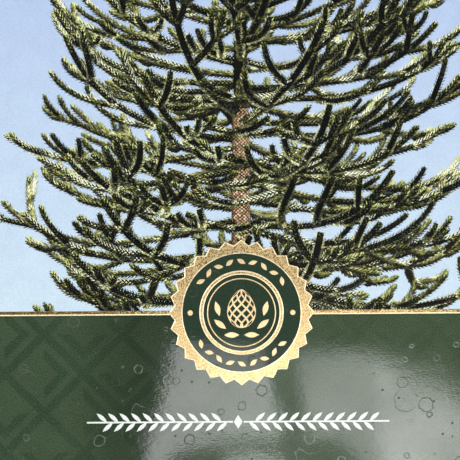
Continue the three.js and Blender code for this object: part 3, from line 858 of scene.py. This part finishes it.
def add_cores(kites, ropes):
    """The dark middle of each rope, under its leaves."""
    joined = ~ropes.first[1:]
    a, b = ropes.place[:-1][joined], ropes.place[1:][joined]
    near = (a[:, 2] + b[:, 2]) / 2 - CORE_DEPTH
    light = np.full(len(near), CORE_LIGHT)
    a, b = a[:, :2], b[:, :2]
    across = unit(np.stack([a[:, 1] - b[:, 1], b[:, 0] - a[:, 0]], 1))
    wide = across * (ropes.radius[1:][joined] - CORE_INSET)[:, None]
    kites.add(np.stack([a - wide, b - wide, b + wide], 1), near, light, COOL)
    kites.add(np.stack([a - wide, b + wide, a + wide], 1), near, light, COOL)


# Bark: rows of scales, how far they go on under the leaves, and the light on them
BARK_ROW = 0.5
BARK_ACROSS = 7
BARK_OVERLAP = 1.5
BARK_SCALE_HALF = 0.36
BARK_LAST_TURN = 1.4
BARK_IN_SUN = 2.1
BARK_IN_SHADE = 0.85
BARK_LEAST_LIGHT = 0.08
BARK_GAP_LIGHT = 0.12


def add_bark(kites, shade, random):
    """Lozenge scales on the trunk over its darker ground, lighter where the sun gets in."""
    rows = int((CLOTHED_FROM_Y + BARK_OVERLAP - RULE_Y) / BARK_ROW)
    for row in range(rows):
        y = RULE_Y + row * BARK_ROW
        radius = np.interp(y, (TRUNK_FOOT_Y, TRUNK_TOP_Y), (TRUNK_FOOT_RADIUS, TRUNK_TOP_RADIUS))
        behind = -(y - PICTURE_MIDDLE_Y) * sin(PICTURE_PITCH)
        ground = np.array([
            [[-radius, y], [radius, y], [radius, y + BARK_ROW]],
            [[-radius, y], [radius, y + BARK_ROW], [-radius, y + BARK_ROW]],
        ])
        in_sun = 0.5 if shade.shaded(np.array([[0.0, y, behind + radius]]))[0] else 1.0
        kites.add(ground, np.full(2, behind), np.full(2, BARK_GAP_LIGHT * in_sun), BARK)
        for k in range(BARK_ACROSS):
            place = k + 0.5 * (row % 2) + 0.25 + 0.2 * (random.random() - 0.5)
            turn = pi * (place / BARK_ACROSS - 0.5)
            if abs(turn) > BARK_LAST_TURN:
                continue
            x = radius * sin(turn)
            scale = BARK_SCALE_HALF * pi * radius / BARK_ACROSS
            half = scale * cos(turn) * (0.8 + 0.3 * random.random())
            tall = BARK_ROW * (0.6 + 0.3 * random.random())
            nearness = radius * cos(turn) * cos(PICTURE_PITCH) + behind
            normal = np.array([sin(turn), 0.15, cos(turn)])
            facing = max(0.0, float(normal @ SUN))
            dark = bool(shade.shaded(np.array([[x, y, nearness]]))[0])
            light = facing * (BARK_IN_SHADE if dark else BARK_IN_SUN) + BARK_LEAST_LIGHT
            light *= 0.6 + 0.7 * random.random()
            corners = np.array([
                [[x - half, y], [x, y - tall], [x + half, y]],
                [[x - half, y], [x + half, y], [x, y + tall]],
            ])
            kites.add(corners, np.full(2, nearness), np.array([light * 0.8, light]), BARK)


# Leaf inks from dark to light: brightness of 0 to 255, the warm green and the cool green
LEAF_INKS = (
    (10, (13, 13, 8), (9, 12, 12)),
    (20, (22, 22, 13), (18, 22, 20)),
    (31, (33, 34, 19), (29, 33, 29)),
    (44, (46, 47, 29), (42, 46, 43)),
    (60, (61, 63, 40), (57, 62, 57)),
    (78, (80, 82, 50), (75, 80, 74)),
    (98, (100, 102, 57), (95, 100, 87)),
    (120, (123, 125, 67), (118, 123, 102)),
    (143, (147, 149, 80), (142, 147, 120)),
    (168, (172, 175, 97), (167, 172, 142)),
    (195, (199, 202, 121), (194, 199, 168)),
    (222, (225, 228, 155), (221, 225, 200)),
    (245, (245, 250, 204), (244, 247, 234)),
)
# The other inks: brightness and colour
TIP_INKS = (
    (45, (46, 51, 26)), (80, (80, 88, 42)), (115, (117, 125, 64)),
    (150, (153, 162, 88)), (185, (189, 197, 118)), (220, (223, 230, 160)),
)
STRAW_INKS = (
    (50, (62, 50, 36)), (100, (118, 98, 70)), (150, (170, 148, 110)), (200, (218, 198, 160)),
)
BARK_INKS = (
    (14, (19, 15, 11)), (34, (48, 33, 23)), (64, (92, 63, 44)), (96, (131, 98, 71)),
    (135, (174, 139, 105)), (175, (212, 180, 142)), (215, (241, 217, 180)),
)
INKS = {
    WARM: ("bough_warm_ink", [(level, warm) for level, warm, _ in LEAF_INKS]),
    COOL: ("bough_cool_ink", [(level, cool) for level, _, cool in LEAF_INKS]),
    TIP: ("bough_tip_ink", TIP_INKS),
    STRAW: ("bough_straw_ink", STRAW_INKS),
    BARK: ("bark_ink", BARK_INKS),
}

# How light on a leaf becomes brightness of the print
LIGHT_CURVE = 0.8
LIGHT_STEPS = (0.0, 0.05, 0.12, 0.22, 0.36, 0.52, 0.70, 0.88, 1.05)
PRINT_STEPS = (6, 14, 34, 68, 108, 150, 196, 232, 250)

# How the printed tree is stacked, and how far it keeps off what is round it
PRINT_GAP = 0.006
STACK_RUN = 14.0
DEPTH_SPAN = 84.0
SIDE_MARGIN = 0.1
TOP_MARGIN = 6.0
UNDER_RULE = 0.3
UNDER_SEAL = 1.5
LEAST_AREA = 1e-3
LEAF_SEED = 7


def stack_height(x, y):
    """The top of the stacked print: low beside the seal and the rule, which lie over it."""
    from_seal = np.hypot(x, y - RULE_Y) - SEAL_RADIUS
    from_rule = y - (RULE_Y + 1.0)
    share = np.clip(np.minimum(from_seal, from_rule) / STACK_RUN, 0, 1)
    rise = (STACK_TOP_Z - FOIL_TOP_Z) * share * share * (3 - 2 * share)
    return (FOIL_TOP_Z - FOIL_DIP - PRINT_GAP) + rise


def linked(name, data):
    thing = bpy.data.objects.new(name, data)
    bpy.context.scene.collection.objects.link(thing)
    return thing


def on_label(name, mesh, nodes):
    """A piece on the label's one body, in place of the named nodes."""
    piece = linked(name, mesh)
    piece.visible_shadow = False
    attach(piece, "root")
    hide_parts(*nodes)
    return piece


def flat_piece(name, triangles, heights, finish, nodes):
    """A mesh of separate flat triangles, in millimetres."""
    vertices = np.column_stack([triangles.reshape(-1, 2), heights.ravel()]).astype(np.float32)
    count = len(vertices)
    mesh = bpy.data.meshes.new(name)
    mesh.vertices.add(count)
    mesh.vertices.foreach_set("co", (vertices * MM).ravel())
    mesh.loops.add(count)
    mesh.loops.foreach_set("vertex_index", np.arange(count, dtype=np.int32))
    mesh.polygons.add(len(triangles))
    mesh.polygons.foreach_set("loop_start", np.arange(0, count, 3, dtype=np.int32))
    mesh.update(calc_edges=True)
    mesh.validate()
    mesh.materials.append(finish)
    piece = on_label(name, mesh, nodes)
    piece.visible_diffuse = False
    piece.visible_glossy = False


def print_tree():
    ropes = Ropes(grow_tree() + grow_further() + grow_front() + grow_leader())
    shade = Shade(ropes.place)
    random = np.random.default_rng(LEAF_SEED)
    kites = Kites()
    add_leaves(kites, ropes, shade, random)
    add_cores(kites, ropes)
    add_bark(kites, shade, random)
    corners, near, light, ink = kites.columns()

    side = CARD_WIDTH / 2 - SIDE_MARGIN
    corners[:, :, 0] = np.clip(corners[:, :, 0], -side, side)
    corners[:, :, 1] = np.clip(corners[:, :, 1], RULE_Y - UNDER_RULE, CARD_HEIGHT / 2 - TOP_MARGIN)
    middle = corners.mean(1)
    area = np.cross(corners[:, 1] - corners[:, 0], corners[:, 2] - corners[:, 0]) / 2
    keep = np.abs(area) > LEAST_AREA
    keep &= np.hypot(middle[:, 0], middle[:, 1] - RULE_Y) > ROSETTE_ROOT_RADIUS - UNDER_SEAL
    flipped = area < 0
    corners[flipped] = corners[flipped][:, ::-1]
    share = np.clip(0.5 + 0.5 * near / DEPTH_SPAN, 0.0, 1.0)
    bottom = PRINT_Z + PRINT_GAP
    top = stack_height(corners[:, :, 0], corners[:, :, 1])
    heights = bottom + (top - bottom) * share[:, None]

    light = np.clip(light, 0, LIGHT_STEPS[-1]) ** LIGHT_CURVE
    brightness = np.interp(light, LIGHT_STEPS, PRINT_STEPS)
    bough_nodes = ("far_boughs_left", "far_boughs_right", "near_boughs_left", "near_boughs_right")
    for kind, (prefix, inks) in INKS.items():
        levels = np.array([level for level, _ in inks], float)
        chosen = np.abs(brightness[:, None] - levels[None]).argmin(1)
        for i, (_, colour) in enumerate(inks):
            picked = keep & (ink == kind) & (chosen == i)
            if not picked.any():
                continue
            name = f"{prefix}_{i + 1:02d}"
            finish = ink_finish(name, linear(*colour))
            nodes = ("pictured_trunk",) if kind == BARK else bough_nodes
            flat_piece(name, corners[picked], heights[picked], finish, nodes)


print_tree()


# Finishes on the part's own solids, with their edges rounded off

FOIL = foil_finish("gold_foil", (0.65, 0.475, 0.235), smooth=0.22, rough=0.37)
FINE_FOIL = foil_finish("fine_foil", (0.84, 0.64, 0.37), smooth=0.3, rough=0.5)
# A paler copy of the foil, a painted highlight on the seal's raised rims and the rule's lower slope
PAINTED_HIGHLIGHT_FOIL = foil_finish("painted_highlight_foil", (0.95, 0.80, 0.54), smooth=0.34, rough=0.52)
RULE_FOIL = foil_finish("rule_foil", (0.80, 0.575, 0.29), smooth=0.12, rough=0.24, relief=0.004)
FINISHES = {
    "card": card_finish(),
    "picture_sky": sky_finish(),
    "green_panel": panel_finish(),
    "seal_disc": seal_finish(),
    "sprig": white_print_finish(),
}
EDGE = 0.04
EDGES = {"card": 0.12, "seal_rosette": 0.06}
EDGE_ANGLE = radians(40)


def by_prefix(table, name, default):
    return next((value for prefix, value in table.items() if name.startswith(prefix)), default)


for name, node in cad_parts.items():
    node.data.materials.clear()
    node.data.materials.append(by_prefix(FINISHES, name, FINE_FOIL))
    bevel = node.modifiers.new("edge", "BEVEL")
    bevel.width = by_prefix(EDGES, name, EDGE) * MM
    bevel.segments = 2
    bevel.limit_method = "ANGLE"
    bevel.angle_limit = EDGE_ANGLE
    if name != "card":
        node.visible_shadow = False


# The seal's foil: its edges stand up as thin raised borders, in a paler foil that paints their highlight

TEETH = 28
TOOTH_SLANT = 1.2
STEPS_PER_FLANK = 4
DISC_RADIUS = 17.7
DISC_OVERLAP = 0.1
SEAL_RING = (11.4, 12.62)
BORDER = 0.3
CREST = 0.12
EDGE_DROP = 0.05


def at_turn(radius, turn):
    return radius * cos(turn), radius * sin(turn)


def round_line(radius):
    count = 2 * TEETH * STEPS_PER_FLANK
    return [at_turn(radius, pi / 2 + 2 * pi * i / count) for i in range(count)]


def toothed_line(inset):
    """The rosette's outline, moved in evenly."""
    corners = []
    for i in range(2 * TEETH):
        radius = (ROSETTE_ROOT_RADIUS if i % 2 else SEAL_RADIUS) - TOOTH_SLANT * inset
        corners.append(at_turn(radius, pi / 2 + pi * i / TEETH))
    line = []
    for i, (x, y) in enumerate(corners):
        next_x, next_y = corners[(i + 1) % len(corners)]
        for k in range(STEPS_PER_FLANK):
            share = k / STEPS_PER_FLANK
            line.append((x + (next_x - x) * share, y + (next_y - y) * share))
    return line


def foil_mesh(name, vertices, faces, *foils):
    """A mesh from places about the seal's middle, in millimetres, its faces turned up and out."""
    mesh = bpy.data.meshes.new(name)
    mesh.from_pydata([(x * MM, (RULE_Y + y) * MM, z * MM) for x, y, z in vertices], [], faces)
    for foil in foils:
        mesh.materials.append(foil)
    editable = bmesh.new()
    editable.from_mesh(mesh)
    bmesh.ops.recalc_face_normals(editable, faces=editable.faces)
    if sum(face.normal.z for face in editable.faces) < 0:
        bmesh.ops.reverse_faces(editable, faces=editable.faces)
    editable.to_mesh(mesh)
    editable.free()
    return mesh


def banded_piece(name, bands, node):
    """Closed lines about the seal's middle, each with its height and whether its band takes the painted
    highlight, joined into bands of foil.
    """
    count = len(bands[0][0])
    faces = []
    paint = []
    for row, (_, _, takes_painted_highlight) in enumerate(bands[:-1]):
        for i in range(count):
            a, b = row * count + i, row * count + (i + 1) % count
            faces.append((a, b, b + count, a + count))
            # Bands so marked take the paler foil: a painted highlight on the raised rims and their walls
            paint.append(int(takes_painted_highlight))
    vertices = [(x, y, z) for line, z, _ in bands for x, y in line]
    mesh = foil_mesh(name, vertices, faces, FOIL, PAINTED_HIGHLIGHT_FOIL)
    mesh.polygons.foreach_set("material_index", paint)
    on_label(name, mesh, [node])


def seal_foil():
    top = FOIL_TOP_Z
    banded_piece("rosette_foil", [
        (toothed_line(0.0), PRINT_Z, True),
        (toothed_line(0.0), top - EDGE_DROP, True),
        (toothed_line(CREST), top, True),
        (toothed_line(BORDER), top - FOIL_DIP, False),
        (round_line(DISC_RADIUS + BORDER), top - FOIL_DIP, True),
        (round_line(DISC_RADIUS + CREST), top, True),
        (round_line(DISC_RADIUS - DISC_OVERLAP), top - 0.01, True),
    ], "seal_rosette")
    inner, outer = SEAL_RING
    foot, top = STACK_TOP_Z - LAYER, STACK_TOP_Z
    banded_piece("ring_foil", [
        (round_line(outer), foot, True),
        (round_line(outer), top - EDGE_DROP, True),
        (round_line(outer - CREST), top, True),
        (round_line(outer - BORDER), top - FOIL_DIP, False),
        (round_line(inner + BORDER), top - FOIL_DIP, True),
        (round_line(inner + CREST), top, True),
        (round_line(inner), top - EDGE_DROP, True),
        (round_line(inner), foot, True),
    ], "seal_ring")


# The gold rule, with a slope along its lower edge in a paler foil, a painted highlight. Its section is
# place across and height

RULE_HALF = 0.7
RULE_FOOT_Z = PRINT_Z + 0.001
RULE_INTO_SEAL = 0.3
RULE_SECTION = (
    (-RULE_HALF, RULE_FOOT_Z),
    (-RULE_HALF, 0.675),
    (-RULE_HALF + 0.32, FOIL_TOP_Z),
    (RULE_HALF - 0.06, FOIL_TOP_Z),
    (RULE_HALF, 0.7),
    (RULE_HALF, RULE_FOOT_Z),
)


def rule_piece(side, name):
    ends = (side * (SEAL_RADIUS - RULE_INTO_SEAL), side * CARD_WIDTH / 2)
    count = len(RULE_SECTION)
    faces = [(i, (i + 1) % count, count + (i + 1) % count, count + i) for i in range(count)]
    faces += [tuple(range(count)), tuple(range(count, 2 * count))]
    vertices = [(x, y, z) for x in ends for y, z in RULE_SECTION]
    mesh = foil_mesh(f"rule_{name}", vertices, faces, RULE_FOIL, PAINTED_HIGHLIGHT_FOIL)
    # The slope facing down the card takes the paler foil: a painted highlight
    for face in mesh.polygons:
        is_slope = face.normal.y < -0.05 and face.normal.z > 0.5
        face.material_index = int(is_slope)
    on_label(f"rule_{name}", mesh, [f"gold_rule_{name}"])


seal_foil()
rule_piece(-1, "left")
rule_piece(1, "right")


# Stage: a pale floor, soft lights, and the pale cards above that the gloss reflects

def stage_mesh(name, corners, material):
    mesh = bpy.data.meshes.new(name)
    mesh.from_pydata([[c * MM for c in corner] for corner in corners], [], [range(len(corners))])
    mesh.materials.append(material)
    thing = linked(name, mesh)
    return thing


def floor_finish():
    finish = Finish("pale_floor", 0.6)
    cloud = finish.varied(60.0, 3.0, 0.0, 1.0)
    return finish.wear(Base_Color=finish.mix(cloud, linear(222, 221, 218), linear(229, 228, 225)))


FLOOR = 3000.0
FLOOR_Z = -0.05
CORNERS = ((-1, -1), (1, -1), (1, 1), (-1, 1))
stage_mesh("floor", [(x * FLOOR, y * FLOOR, FLOOR_Z) for x, y in CORNERS], floor_finish())


CLOUD_SIZE = 30.0
CLOUD_SPREAD = 0.22


def glow(name, colour, strength):
    """Light added to whatever lies behind, fading to nothing at the card's outline."""
    material = bpy.data.materials.new(name)
    nodes = Nodes(material)
    cloud = nodes.node("TexNoise", {
        "Vector": nodes.node("TexCoord").outputs["Object"],
        "Scale": 1 / (CLOUD_SIZE * MM),
        "Detail": 4.0,
    })
    spread = nodes.node("MapRange", {
        "Value": cloud.outputs["Fac"],
        "From Min": 0.3,
        "From Max": 0.7,
        "To Min": (1 - CLOUD_SPREAD) * strength,
        "To Max": (1 + CLOUD_SPREAD) * strength,
    })
    fade = nodes.node("Attribute", attribute_name="fade")
    gain = nodes.node("Math", {0: fade.outputs["Fac"], 1: spread.outputs["Result"]}, operation="MULTIPLY")
    light = nodes.node("Emission", {"Color": (*colour, 1.0), "Strength": gain.outputs[0]})
    clear = nodes.node("BsdfTransparent")
    both = nodes.node("AddShader", {0: light.outputs[0], 1: clear.outputs[0]})
    nodes.node("OutputMaterial", {"Surface": both.outputs[0]})
    return material


def reflected(name, strength, softness, colour, outline, height):
    """A glowing card that the label mirrors to the camera, inside the given outline on it."""
    reach = (VIEW_HEIGHT + height) / VIEW_HEIGHT
    corners = [(VIEW_X + reach * (x - VIEW_X), VIEW_Y + reach * (y - VIEW_Y), height) for x, y in outline]
    card = stage_mesh(name, corners, glow(name, colour, strength))
    editable = bmesh.new()
    editable.from_mesh(card.data)
    editable.faces.ensure_lookup_table()
    bmesh.ops.inset_region(
        editable,
        faces=editable.faces[:],
        thickness=reach * softness * MM,
        use_boundary=True,
        use_even_offset=True,
    )
    fade = editable.verts.layers.float.new("fade")
    for vertex in editable.verts:
        vertex[fade] = 0.0 if vertex.is_boundary else 1.0
    editable.to_mesh(card.data)
    editable.free()
    for ray in ("camera", "diffuse", "shadow", "transmission"):
        setattr(card, f"visible_{ray}", False)


WHITE_LIGHT = (1.0, 1.0, 1.0)
WARM_LIGHT = (1.0, 0.8, 0.55)

# Name, strength, width of the soft edge, colour, and outline on the label, in millimetres
GLOWS = (
    ("left_glow", 4.9, 1.9, WHITE_LIGHT, (
        (-21.5, -62), (6.5, -63), (9.5, -75), (11, -84), (15.5, -89), (7, -91.4), (-5, -92.2),
        (-13.5, -92.9), (-19, -94.9), (-26.5, -102.5), (-29.5, -101), (-29, -91), (-27, -85.5),
        (-24, -78.5), (-22.2, -70),
    )),
    ("band_glow", 1.0, 4.0, WHITE_LIGHT, (
        (-24.5, -60.5), (43, -61), (59.5, -66), (77.5, -79), (77.5, -109), (-35, -109), (-31, -91),
        (-26, -79),
    )),
    ("middle_glow", 3.8, 4.0, WHITE_LIGHT, (
        (16, -64), (31, -63), (40, -65), (49, -68), (57.5, -71), (63.5, -75), (77.5, -84.5),
        (77.5, -109), (40.5, -109), (27.5, -93.5), (16, -91.5),
    )),
    ("right_glow", 3.2, 6.0, WHITE_LIGHT, (
        (38, -68), (53.5, -72), (62, -76), (77.5, -87), (77.5, -115), (41.5, -115), (37.5, -88),
    )),
    ("foot_glow", 5.2, 1.2, WHITE_LIGHT, (
        (-9.5, -105), (-5, -95.7), (3, -94.2), (10.5, -95.9), (18, -105),
    )),
    ("side_glow", 0.16, 14.0, WARM_LIGHT, ((5.5, -25), (95.5, -25), (95.5, -115), (5.5, -115))),
    ("low_glow", 3.2, 20.0, WHITE_LIGHT, ((-162.5, -103), (155.5, -103), (155.5, -289), (-162.5, -289))),
)
for level, row in enumerate(GLOWS):
    reflected(*row, VIEW_HEIGHT + level)


# Soft lights, in metres
LIGHT_SIZE = 0.8


def soft_light(name, place, radiance):
    light = bpy.data.lights.new(name, "AREA")
    light.shape = "SQUARE"
    light.size = LIGHT_SIZE
    light.energy = radiance * pi * LIGHT_SIZE * LIGHT_SIZE
    lamp = linked(name, light)
    lamp.location = place
    lamp.rotation_euler = (-lamp.location).to_track_quat("-Z", "Y").to_euler()


soft_light("left_light", (-0.95, 0.1, 0.9), 5.0)
soft_light("right_light", (0.95, -0.05, 0.9), 5.4)


# The studio round the label: grey by height, pale near the floor and dark overhead
STUDIO_GREYS = ((0.0, 0.8), (0.9, 0.12))

world = bpy.data.worlds.new("studio")
bpy.context.scene.world = world
studio = Nodes(world)
height = studio.node("SeparateXYZ", {0: studio.node("TexCoord").outputs["Generated"]}).outputs["Z"]
ramp = studio.node("ValToRGB", {0: height})
for end, (position, grey) in zip(ramp.color_ramp.elements, STUDIO_GREYS):
    end.position = position
    end.color = (grey, grey, grey, 1)
background = studio.node("Background", {"Color": ramp.outputs["Color"]})
studio.node("OutputWorld", {"Surface": background.outputs["Background"]})


# The camera, straight above the print
SENSOR = 36.0
camera_data = bpy.data.cameras.new("camera")
camera_data.sensor_width = SENSOR
camera_data.lens = SENSOR * VIEW_HEIGHT / VIEW_SPAN
camera_data.clip_start = 0.01
camera = linked("camera", camera_data)
camera.location = (VIEW_X * MM, VIEW_Y * MM, VIEW_HEIGHT * MM)
camera.rotation_euler = (0, 0, -VIEW_ROLL)
bpy.context.scene.camera = camera
bpy.context.scene.view_settings.view_transform = "Standard"
